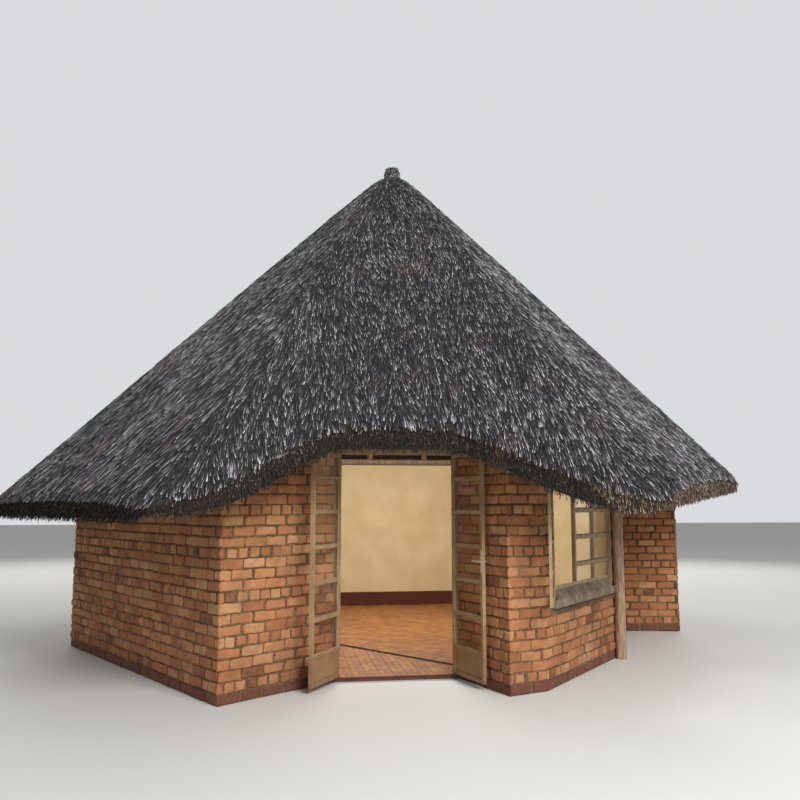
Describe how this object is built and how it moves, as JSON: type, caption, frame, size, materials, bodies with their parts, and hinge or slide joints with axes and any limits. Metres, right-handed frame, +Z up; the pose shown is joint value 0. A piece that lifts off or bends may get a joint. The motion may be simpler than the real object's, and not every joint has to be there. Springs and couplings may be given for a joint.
{
  "type": "thatched rondavel hut",
  "caption": "Six-sided brick rondavel with a steep thatch roof, open glazed steel double doors, a steel casement window and a small corner porch",
  "frame": {"origin": "On the ground under the apex of the roof", "axes": "+Z up, the doorway faces -Y, the porch is on the +X side"},
  "size_m": [9.1166, 7.9494, 5.8468],
  "materials": {
    "brick": "worn, with raked dark joints",
    "floor_brick": "polished",
    "concrete": "rough",
    "cream_paint": "satin, with some dirt",
    "glass": "clear",
    "bright_metal": "polished",
    "pole_wood": "dark stained",
    "thatch": "weathered grass thatch"
  },
  "bodies": {
    "building": {"floor_slab": "floor_brick", "left_wall": "brick", "rear_left_wall": "brick", "rear_wall": "brick", "right_wall": "brick", "entrance_left_wall": "brick", "door_head_wall": "brick", "entrance_right_wall": "brick", "front_pier": "brick", "window_wall_left": "brick", "window_wall_below": "brick", "window_wall_above": "brick", "window_wall_right": "brick", "porch_side_wall": "brick", "porch_end_wall": "brick", "door_sill": "concrete", "door_frame": "cream_paint", "window_frame": "cream_paint", "window_glass": "glass", "window_sill": "concrete", "window_casement": "cream_paint", "casement_glass": "glass", "porch_post": "pole_wood", "porch_beam": "pole_wood", "wall_plate": "pole_wood", "rafters": "pole_wood", "roof_hub": "pole_wood", "thatch_roof": "thatch", "roof_cap": "thatch"},
    "left_door": {"left_door": "cream_paint", "left_door_glass": "glass"},
    "right_door": {"right_door": "cream_paint", "right_door_glass": "glass", "door_handles": "bright_metal"}
  },
  "joints": [
    {"name": "left_door_hinge", "type": "hinge", "parent": "building", "child": "left_door", "pos_m": [-0.8405, -2.39765, 0], "axis": [0, 0, 1], "range_deg": [-5, 120]},
    {"name": "right_door_hinge", "type": "hinge", "parent": "building", "child": "right_door", "pos_m": [0.2665, -2.39765, 0], "axis": [0, 0, 1], "range_deg": [-107, 1]}
  ]
}
